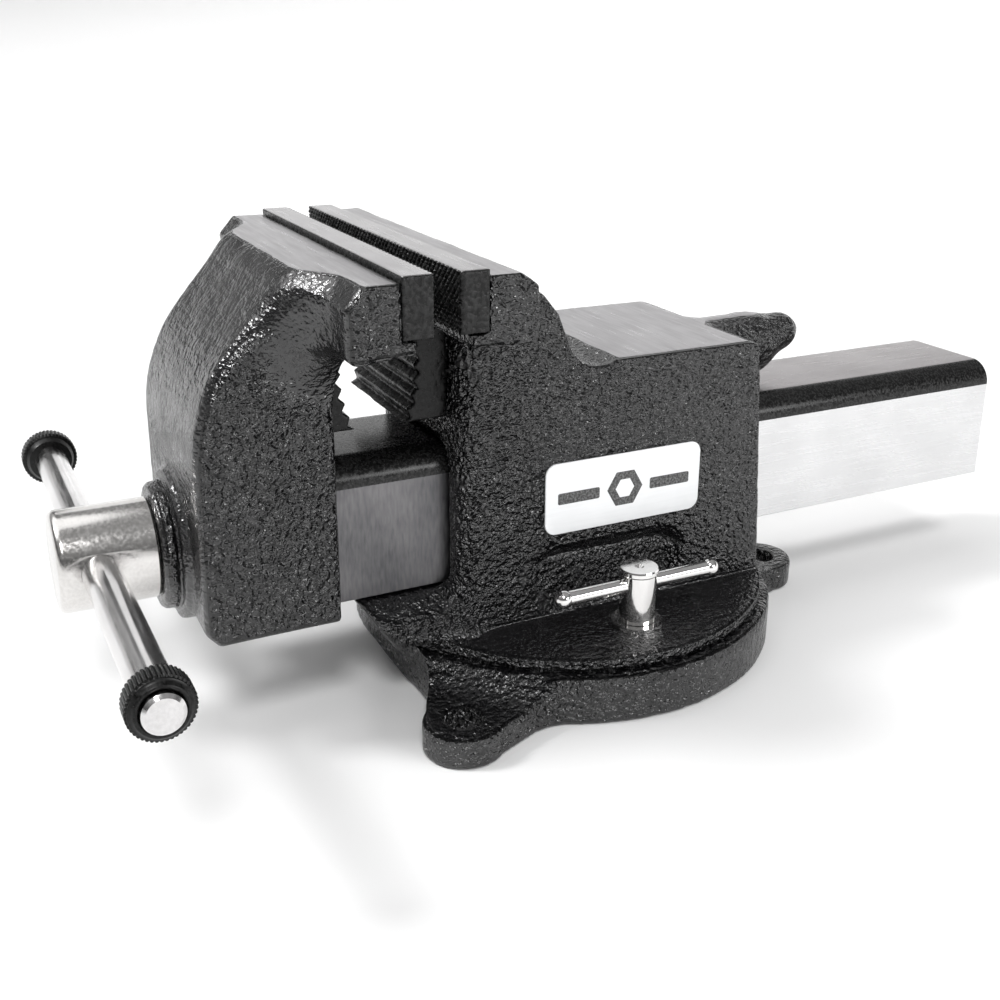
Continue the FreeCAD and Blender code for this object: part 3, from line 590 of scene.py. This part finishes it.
def make_moving_casting():
    """The moving jaw with its rounded front, wide head and screw boss."""
    g = Grid((-106, -226, 50), (106, -118, 226), 1.35)
    centre = (FRONT_FACE + FRONT_CURVE, CURVE_START)
    side = [(FRONT_FACE + 6, FRONT_LOW), (FRONT_FACE, FRONT_LOW + 7)]
    side += arc(centre, FRONT_CURVE, 180, 112, 14)
    side += [(-155.6, 213.0), (FRONT_REAR, 213.0), (FRONT_REAR, FRONT_LOW)]
    edge = 3.0 + 3.5 * smooth_step(120, 190, g.z)
    body = meet(polygon(g.y, g.z, side), np.abs(g.x) - FRONT_HALF, edge)
    front_side = [
        (FRONT_REAR, HEAD_BOTTOM - 1.2),
        (-153.6, HEAD_BOTTOM - 0.5),
        (-155.6, HEAD_BOTTOM + 2),
        (-155.4, 213.0),
        (FRONT_REAR, HEAD_TOP + 1),
    ]
    wing = meet(polygon(g.y, g.z, front_side), np.abs(g.x) - JAW_HALF, 1.1)
    solid = join(body, wing, 36)
    top_side = [
        (-152, HEAD_BOTTOM - 1.2),
        (-155.6, 213.0),
        (-147.5, HEAD_TOP + 1),
        (FRONT_SEAT + 6, HEAD_TOP + 1),
        (FRONT_SEAT + 6, HEAD_BOTTOM + 0.5),
    ]
    top = meet(polygon(g.y, g.z, top_side), np.abs(g.x) - JAW_HALF, 1.1)
    solid = meet(solid, g.y - FRONT_REAR, 1.0)
    solid = join(solid, top, 1.5)
    boss = cylinder(g.x, g.z, (0, SCREW_Z), 30.5, g.y, BOSS_FRONT, -190, 3.0)
    flare = cylinder(g.x, g.z, (0, SCREW_Z), 36.5, g.y, FRONT_FACE - 3.6, -190, 2.5)
    solid = join(join(solid, flare, 3), boss, 2.5)
    solid = meet(solid, g.z - HEAD_TOP, 0.0)
    seat = block(g, (-200, FRONT_SEAT, PLATE_BOTTOM), (200, 0, 300))
    solid = meet(solid, -seat, 0.6)
    bore = cylinder(g.x, g.z, (0, SCREW_Z), SCREW_RADIUS + 0.3, g.y, -230, -100)
    solid = meet(solid, -bore, 0.8)
    solid = meet(solid, -plate_screw_holes(g, FRONT_SEAT - 14, FRONT_SEAT + 2), 0)

    def bare(places, normals):
        up = normals[:, 2] > 0.97
        return (up & (np.abs(places[:, 2] - HEAD_TOP) < 1.0)).astype(float)

    piece = skin("moving_casting", g, solid, (0.12, 0.35, bare))
    dress(piece, "jaw", "black_cast_enamel", MATERIALS["enamel_moving"], "sliding_jaw")


def lug_places():
    """Each lug's hole centre, read from the record's mounts."""
    mounts = frame["record"]["mounts"]
    holes = [m["pos_m"] for m in mounts if m["name"].startswith("lug_hole")]
    return [(p[0] / MM, p[1] / MM) for p in holes]


def make_base_casting():
    """The base ring with its three lugs, whose tops sweep up into the rim."""
    g = Grid((-136, -134, -3), (124, 154, 28), 1.35)
    radius = np.sqrt(g.x**2 + g.y**2)
    plan = meet(radius - BASE_RADIUS, -106 - g.y, 8)
    for x, y in lug_places():
        reach = math.hypot(x, y)
        ux, uy = x / reach, y / reach
        along = g.x * ux + g.y * uy
        across = np.abs(-g.x * uy + g.y * ux)
        inner = BASE_RADIUS - 26
        taper = np.clip((along - inner) / (reach - inner), 0, 1)
        width = 40 + (LUG_RADIUS - 40) * taper
        beyond = along - np.clip(along, inner, reach)
        lug = np.sqrt(beyond**2 + across**2) - width
        plan = join(plan, lug, 9)
    rise = np.clip((BASE_RADIUS + 17.3 - radius) / 22, 0, 1)
    fall = (BASE_TOP - LUG_THICK) * (1 - rise**1.9)
    beside = np.full(radius.shape, 99.0)
    for x, y in lug_places():
        reach = math.hypot(x, y)
        off = np.where(g.x * x + g.y * y > 0, np.abs(g.x * y - g.y * x) / reach, 99.0)
        beside = np.minimum(beside, off)
    top = BASE_TOP + 0.4 - fall * np.where(radius > BASE_RADIUS, 1, smooth_step(38, 26, beside))
    solid = meet(plan, (g.z - top) * 0.85, 2.4)
    solid = meet(solid, -g.z, 0.8)
    for x, y in lug_places():
        hole = cylinder(g.x, g.y, (x, y), LUG_HOLE, g.z, -10, 60)
        solid = meet(solid, -hole, 1.5)
    ring = np.abs(radius - LOCK_X)  # the T-slot runs all round under the lock bolts
    slot = join(meet(ring - 7, 10 - g.z), meet(ring - 12.5, np.abs(g.z - 9.8) - 5), 0)
    solid = meet(solid, -slot, 0.5)

    def bare(places, normals):
        return (places[:, 2] < 0.6).astype(float)

    piece = skin("base_casting", g, solid, (0.12, 0.35, bare))
    dress(piece, "base", "black_cast_enamel", MATERIALS["enamel_base"], "swivel_base")


# ---- machined pieces ----------------------------------------------------------------


def dress(piece, body, slot, material, *nodes):
    """Gives a piece its material, unless it has one, and its body, and hides the CAD nodes it stands
    for; the slot argument is not used.
    """
    if not piece.data.materials:
        piece.data.materials.append(material)
    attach(piece, body)
    if nodes:
        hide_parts(*nodes)
    return piece


def mesh_object(name, build, bevel=0.0, segments=3):
    """A mesh object from a bmesh, in millimetres until here, with rounded edges."""
    mesh = bpy.data.meshes.new(name)
    bmesh.ops.recalc_face_normals(build, faces=build.faces)
    bmesh.ops.scale(build, vec=(MM, MM, MM), verts=build.verts)
    build.to_mesh(mesh)
    build.free()
    piece = bpy.data.objects.new(name, mesh)
    bpy.context.scene.collection.objects.link(piece)
    if bevel:
        tool = piece.modifiers.new("edges", "BEVEL")
        tool.width, tool.segments = bevel * MM, segments
        tool.limit_method, tool.angle_limit = "ANGLE", math.radians(28)
        tool.harden_normals = True
    mesh.polygons.foreach_set("use_smooth", [True] * len(mesh.polygons))
    if bevel:
        settle(piece)
    return piece


def settle(piece):
    """Applies the piece's modifiers to its mesh."""
    view = bpy.context.evaluated_depsgraph_get()
    done = bpy.data.meshes.new_from_object(piece.evaluated_get(view))
    piece.modifiers.clear()
    piece.data = done


def lathe(name, profile, place, turn=None, segments=96, ribs=None):
    """A turned piece: rings of (radius, along), with optional ribs as (count, depth, rings)."""
    build = bmesh.new()
    rows = []
    for index, (radius, along) in enumerate(profile):
        row = []
        for step in range(segments):
            angle = 2 * math.pi * step / segments
            reach = radius
            if ribs and index in ribs[2]:
                wave = abs(math.sin(angle * ribs[0] / 2))
                reach = radius - ribs[1] * (1 - wave**0.55)
            row.append(build.verts.new((reach * math.cos(angle), reach * math.sin(angle), along)))
        rows.append(row)
    for first, second in zip(rows, rows[1:]):
        for i in range(segments):
            j = (i + 1) % segments
            build.faces.new((first[i], first[j], second[j], second[i]))
    if profile[0][0] != profile[-1][0] or profile[0][1] != profile[-1][1]:
        build.faces.new(list(reversed(rows[0])))
        build.faces.new(rows[-1])
    else:
        bmesh.ops.remove_doubles(build, verts=build.verts, dist=1e-5)
    move = Matrix.Translation(Vector(place)) @ (turn or Matrix.Identity(4))
    bmesh.ops.transform(build, matrix=move, verts=build.verts)
    return mesh_object(name, build)


ALONG_Y = Matrix.Rotation(math.radians(-90), 4, "X")
ALONG_HANDLE = Matrix.Rotation(math.radians(90) - HANDLE_TILT, 4, "Y")


def make_slide_bar():
    """The slide: a channel, bright on its ground sides and black over its top, with painted shade
    that colours it darker between the jaws.
    """
    half, low, top, corner = SLIDE_HALF, SLIDE_LOW, SLIDE_TOP, SLIDE_CORNER
    section = [(-half, low), (-CHANNEL_HALF, low), (-CHANNEL_HALF, CHANNEL_TOP)]
    section += [(CHANNEL_HALF, CHANNEL_TOP), (CHANNEL_HALF, low), (half, low)]
    roof_start, steps = 3, 13
    left_arc = len(section) + steps
    section += arc((half - corner, top - corner), corner, 0, 90, steps)
    section += arc((-half + corner, top - corner), corner, 90, 180, steps)
    build = bmesh.new()
    rows = []
    for along in (FRONT_REAR - 3, PAINTED_SHADE_END, SLIDE_END):
        rows.append([build.verts.new((x, along, z)) for x, z in section])
    count = len(section)
    for first, second in zip(rows, rows[1:]):
        for i in range(count):
            j = (i + 1) % count
            build.faces.new((first[i], first[j], second[j], second[i]))
    for row in (rows[0], rows[-1]):
        build.faces.new([*row[:roof_start], *row[left_arc:]])
        build.faces.new([*row[roof_start:left_arc]])
        build.faces.new([row[roof_start - 1], row[roof_start], row[left_arc - 1], row[left_arc]])
    piece = mesh_object("slide_bar", build, 1.0, 3)
    looks = ["slide_side", "slide_top", "slide_end", "slide_corner", "slide_painted_shade"]
    for look in looks:
        piece.data.materials.append(MATERIALS[look])
    for face in piece.data.polygons:
        middle = face.center / MM
        look = "slide_side"
        if abs(face.normal.y) > 0.6:
            look = "slide_end"
        # painted shade: between the jaws the sides take a darker grey and the top the black corner
        # colour
        elif face.normal.z > 0.995 and middle.z > top - 1 and middle.y > PAINTED_SHADE_END:
            look = "slide_top"
        elif middle.z > top - corner + 0.6:
            look = "slide_corner"
        elif middle.y < PAINTED_SHADE_END and abs(face.normal.x) > 0.9:
            look = "slide_painted_shade"
        elif abs(middle.x) < CHANNEL_HALF + 1:
            look = "slide_top"
        face.material_index = looks.index(look)
    dress(piece, "jaw", "screw_steel", None, "sliding_jaw")


def make_jaw_plate(node, body, grip_sign):
    """A hardened jaw plate: ground top, rough ends and a face of small pyramids."""
    low, high = span(node)
    g = Grid(low - 2, high + 2, 0.62)
    grip = high[1] if grip_sign > 0 else low[1]
    pitch, depth = 4.0, 1.4

    def saw(line):
        return np.abs((line / pitch) % 1.0 - 0.5) * 2

    teeth = np.maximum(saw(g.x + g.z), saw(g.x - g.z)) * depth
    solid = block(g, low, high, 0.5)
    face = (g.y - grip) * grip_sign + np.broadcast_to(teeth, g.shape)
    solid = meet(solid, face * 0.75, 0.0)
    for x in PLATE_SCREW_X:
        place = (x, PLATE_SCREW_Z)
        head = cylinder(g.x, g.z, place, 7.2, (g.y - grip) * grip_sign, -8, 4)
        hole = cylinder(g.x, g.z, place, 4.2, g.y, low[1] - 5, high[1] + 5)
        solid = meet(solid, -np.minimum(head, hole), 0.4)
    piece = skin(node + "_finished", g, solid)
    piece.data.materials.append(MATERIALS["plate_face"])
    piece.data.materials.append(MATERIALS["plate_top"])
    for face in piece.data.polygons:
        if face.normal.z > 0.9 and face.center.z / MM > high[2] - 0.7:
            face.material_index = 1
    dress(piece, body, "jaw_plate_steel", None, node)


def make_pipe_jaw(node, body, face, back, way):
    """A pipe jaw with rounded teeth along a hollow face."""
    low, high = span(node)
    teeth, tooth_depth = 7, 3.0
    centre = face - PIPE_RADIUS * way
    start = math.asin((low[2] - PIPE_HEIGHT) / PIPE_RADIUS)
    end = math.asin((high[2] - PIPE_HEIGHT) / PIPE_RADIUS)
    shape = []
    for step in range(2 * teeth + 1):
        angle = start + (end - start) * step / (2 * teeth)
        reach = PIPE_RADIUS + (tooth_depth if step % 2 else 0.0)
        across = centre + reach * way * math.cos(angle)
        shape.append((across, PIPE_HEIGHT + reach * math.sin(angle)))
    shape += [(back, shape[-1][1]), (back, shape[0][1])]
    g = Grid(low - 2, high + 2, 0.75)
    solid = meet(polygon(g.y, g.z, shape), np.abs(g.x) - high[0], 0.8)
    piece = skin(node + "_finished", g, solid, (0.25, 0.3, lambda p, n: np.zeros(len(p))))
    dress(piece, body, "pipe_jaw_steel", MATERIALS["pipe_jaw"], node)


def make_lead_screw():
    """The screw: a bright head, a plain journal and a trapezoidal thread."""
    radius, front = SCREW_HEAD_RADIUS, SCREW[0][1]
    shoulder, rim = BOSS_FRONT - 0.3, 3.5
    profile = [(1.0, front), (12, front)]
    profile += arc((radius - rim, front + rim), rim, -90, 0, 8)
    profile += [(radius, shoulder - 1.2), (radius - 1.2, shoulder)]
    profile += [(SCREW_RADIUS, shoulder), (SCREW_RADIUS, THREAD_START)]
    head = lathe("screw_head", profile, (0, 0, SCREW_Z), ALONG_Y, 128)
    tool_mesh = bmesh.new()
    drill = HANDLE_RADIUS + 0.08
    bmesh.ops.create_cone(
        tool_mesh, cap_ends=True, segments=72, radius1=drill, radius2=drill, depth=80
    )
    place = Matrix.Translation(Vector((0, HANDLE_Y, SCREW_Z))) @ ALONG_HANDLE
    bmesh.ops.transform(tool_mesh, matrix=place, verts=tool_mesh.verts)
    tool = mesh_object("screw_drill", tool_mesh)
    cut = head.modifiers.new("cross_hole", "BOOLEAN")
    cut.operation, cut.object, cut.solver = "DIFFERENCE", tool, "EXACT"
    edge = head.modifiers.new("edges", "BEVEL")
    edge.width, edge.segments = 0.7 * MM, 2
    edge.limit_method, edge.angle_limit = "ANGLE", math.radians(50)
    settle(head)
    bpy.data.objects.remove(tool)
    sharpen(head)
    dress(head, "screw", "screw_steel", MATERIALS["turned"], "lead_screw")
    start, end = THREAD_START, SCREW[1][1]
    segments = 48
    steps = 10
    build, rows = bmesh.new(), []
    count = int((end - start) / THREAD_PITCH * steps)
    for ring in range(count + 1):
        along = start + (end - start) * ring / count
        row = []
        for step in range(segments):
            turn = step / segments
            phase = abs(((along / THREAD_PITCH - turn) % 1.0) - 0.5) * 2
            reach = SCREW_RADIUS - 3.0 * min(max((phase - 0.35) / 0.25, 0), 1)
            reach = min(reach, SCREW_RADIUS - 3.0 + (end - along) * 0.8)
            angle = 2 * math.pi * turn
            row.append(build.verts.new((reach * math.cos(angle), along, reach * math.sin(angle))))
        rows.append(row)
    for first, second in zip(rows, rows[1:]):
        for i in range(segments):
            j = (i + 1) % segments
            build.faces.new((first[i], second[i], second[j], first[j]))
    build.faces.new(rows[0])
    build.faces.new(rows[-1])
    bmesh.ops.translate(build, vec=(0, 0, SCREW_Z), verts=build.verts)
    thread = mesh_object("screw_thread", build)
    sharpen(thread)
    dress(thread, "screw", "screw_steel", MATERIALS["thread"], "lead_screw")


def sharpen(piece, angle=35):
    """Smooth shading that keeps edges sharper than the angle."""
    mesh = piece.data
    mesh.polygons.foreach_set("use_smooth", [True] * len(mesh.polygons))
    mesh.set_sharp_from_angle(angle=math.radians(angle))


def make_handle():
    """Handle bar and its two ribbed knobs."""
    place = (0, HANDLE_Y, SCREW_Z)
    full, turned, right, left = HANDLE_RADIUS, HANDLE_RADIUS - 0.5, HANDLE_RIGHT, HANDLE_LEFT
    profile = [(6.6, left), (turned, left + 1.4), (turned, left + 5.4), (full, left + 6.0)]
    profile += [(full, right - 6.0), (turned, right - 5.4), (turned, right - 1.4), (6.6, right)]
    bar = lathe("handle_rod", profile, place, ALONG_HANDLE, 96)
    sharpen(bar)
    dress(bar, "handle", "screw_steel", MATERIALS["handle"], "handle_bar")
    ribs, rib_depth = 44, 0.7
    for node, end, way, rim in (
        ("handle_knob_right", right, 1, 13.0),
        ("handle_knob_left", left, -1, 15.2),
    ):
        steps = [
            (8.55, -3.4), (9.0, -3.0), (rim - 3.3, -3.0), (rim - 2.6, -3.4), (rim - 2.3, -4.4),
            (rim - 1.0, -5.0), (rim - 0.9, -5.6), (rim, -6.0), (rim, -14.8), (rim - 0.9, -15.4),
            (rim - 2.0, -15.8), (rim - 2.4, -17.4), (rim - 3.6, -19.6), (8.55, -20.2),
        ]
        profile = [(radius, end + along * way) for radius, along in steps]
        knob = lathe(
            node + "_ribbed", profile + profile[:1], place, ALONG_HANDLE, ribs * 8,
            (ribs, rib_depth, (7, 8)),
        )
        sharpen(knob, 50)
        dress(knob, "handle", "knob_black", MATERIALS["knob"], node)


def make_nameplate():
    """A plain satin plate with a hexagon ring between two bars, printed in black."""
    low, high = span("nameplate")
    middle = (low + high) / 2
    width, height = high[1] - low[1], high[2] - low[2]
    plate = slab("plate_blank", middle, width, height, 6.0, low[0], high[0], 0.35)
    dress(plate, "upper", "plate_white", MATERIALS["plate_white"], "nameplate")
    face, ink = high[0], high[0] + 0.12
    for index, offset in enumerate((-27, 27)):
        centre = middle + np.array((0, offset, 0))
        bar = slab("plate_bar_%d" % index, centre, 24, 6.0, 1.0, face, ink, 0)
        dress(bar, "upper", "plate_white", MATERIALS["plate_print"])
    build = bmesh.new()
    outer, inner = (
        [build.verts.new((ink, y, z)) for y, z in arc(middle[1:], radius, 0, 300, 6)]
        for radius in (10.5, 5.6)
    )
    for i in range(6):
        j = (i + 1) % 6
        build.faces.new((outer[i], outer[j], inner[j], inner[i]))
    lifted = bmesh.ops.extrude_face_region(build, geom=list(build.faces))
    moved = [v for v in lifted["geom"] if isinstance(v, bmesh.types.BMVert)]
    bmesh.ops.translate(build, vec=(-0.2, 0, 0), verts=moved)
    device = mesh_object("plate_device", build)
    sharpen(device)
    dress(device, "upper", "plate_white", MATERIALS["plate_print"])


def rounded_rectangle(middle, width, height, corner, steps=8):
    """Corner-rounded outline in Y and Z."""
    u, v = width / 2 - corner, height / 2 - corner
    points = []
    for su, sv, start in ((1, 1, 0), (-1, 1, 90), (-1, -1, 180), (1, -1, 270)):
        points += arc((middle[1] + su * u, middle[2] + sv * v), corner, start, start + 90, steps)
    return points


def slab(name, middle, width, height, corner, low, high, bevel):
    """A thin plate with rounded corners that faces along X."""
    build = bmesh.new()
    points = rounded_rectangle(middle, width, height, corner)
    rows = [[build.verts.new((x, y, z)) for y, z in points] for x in (low, high)]
    for i in range(len(points)):
        j = (i + 1) % len(points)
        build.faces.new((rows[0][i], rows[0][j], rows[1][j], rows[1][i]))
    build.faces.new(rows[0])
    build.faces.new(rows[1])
    piece = mesh_object(name, build, bevel, 2)
    sharpen(piece)
    return piece


def finish_cad_nodes():
    """Better materials on the CAD nodes that stay."""
    looks = {"lock_chrome": "chrome", "fastener_black": "black_oxide", "nut_iron": "iron"}
    slots = {s["node"]: s["material_slot"] for s in frame["record"]["subparts"]}
    for node, item in frame["nodes"].items():
        look = looks.get(slots.get(node))
        if look:
            for place in item.material_slots:
                place.link = "OBJECT"
                place.material = MATERIALS[look]


MATERIALS = {
    "enamel_fixed": enamel_material("enamel_fixed", (ANVIL_TOP, HEAD_TOP)),
    "enamel_moving": enamel_material("enamel_moving", (HEAD_TOP,), True),
    "enamel_base": enamel_material("enamel_base", ()),
    "slide_side": steel_material(
        "slide_side", (0.6, 0.6, 0.605), (0.68, 0.68, 0.685), 0.24, (1, 0.04, 1)
    ),
    # painted shade: a darker grey for the slide's sides between the jaws
    "slide_painted_shade": steel_material(
        "slide_painted_shade", (0.1, 0.1, 0.105), (0.2, 0.195, 0.2), 0.34, (1, 1, 0.2)
    ),
    "slide_end": steel_material(
        "slide_end", (0.6, 0.6, 0.6), (0.8, 0.8, 0.8), 0.3
    ),
    "slide_top": steel_material(
        "slide_top", (0.3, 0.28, 0.285), (0.4, 0.38, 0.385), 0.3, (1, 0.05, 1)
    ),
    "slide_corner": rough_black_material("slide_corner", 0.018, 0.26, 700, 0.00004),
    "plate_face": rough_black_material("plate_face", 0.012, 0.28, 480, 0.001),
    "plate_top": steel_material(
        "plate_top", (0.36, 0.35, 0.355), (0.5, 0.49, 0.495), 0.3, (0.04, 1, 1)
    ),
    "pipe_jaw": rough_black_material("pipe_jaw", 0.006, 0.32, 420, 0.0006),
    "turned": steel_material(
        "turned", (0.6, 0.585, 0.57), (0.78, 0.765, 0.75), 0.17, (1, 1, 1)
    ),
    "thread": steel_material(
        "thread", (0.35, 0.34, 0.33), (0.5, 0.49, 0.47), 0.28
    ),
    "handle": steel_material(
        "handle", (0.62, 0.61, 0.61), (0.8, 0.79, 0.79), 0.17, (0.04, 1, 1)
    ),
    "knob": rough_black_material("knob", 0.008, 0.36, 900, 0.00006),
    "chrome": steel_material(
        "chrome", (0.78, 0.77, 0.76), (0.88, 0.87, 0.86), 0.09, (1, 1, 0.2)
    ),
    "black_oxide": rough_black_material("black_oxide", 0.02, 0.36, 900, 0.00005),
    "iron": steel_material(
        "iron", (0.16, 0.155, 0.15), (0.3, 0.29, 0.28), 0.4
    ),
    "plate_white": steel_material(
        "plate_white", (0.86, 0.87, 0.88), (0.92, 0.93, 0.94), 0.35, (1, 0.05, 1), 0.0
    ),
    "plate_print": rough_black_material("plate_print", 0.1, 0.5, 900, 0.00002),
}

make_camera()
make_stage()
make_base_casting()
make_fixed_casting()
make_moving_casting()
make_slide_bar()
make_jaw_plate("rear_jaw_plate", "upper", -1)
make_jaw_plate("front_jaw_plate", "jaw", 1)
make_pipe_jaw("rear_pipe_jaw", "upper", PIPE_FACE_REAR, BODY_FRONT, 1)
make_pipe_jaw("front_pipe_jaw", "jaw", PIPE_FACE_FRONT, FRONT_REAR, -1)
make_lead_screw()
make_handle()
make_nameplate()
finish_cad_nodes()
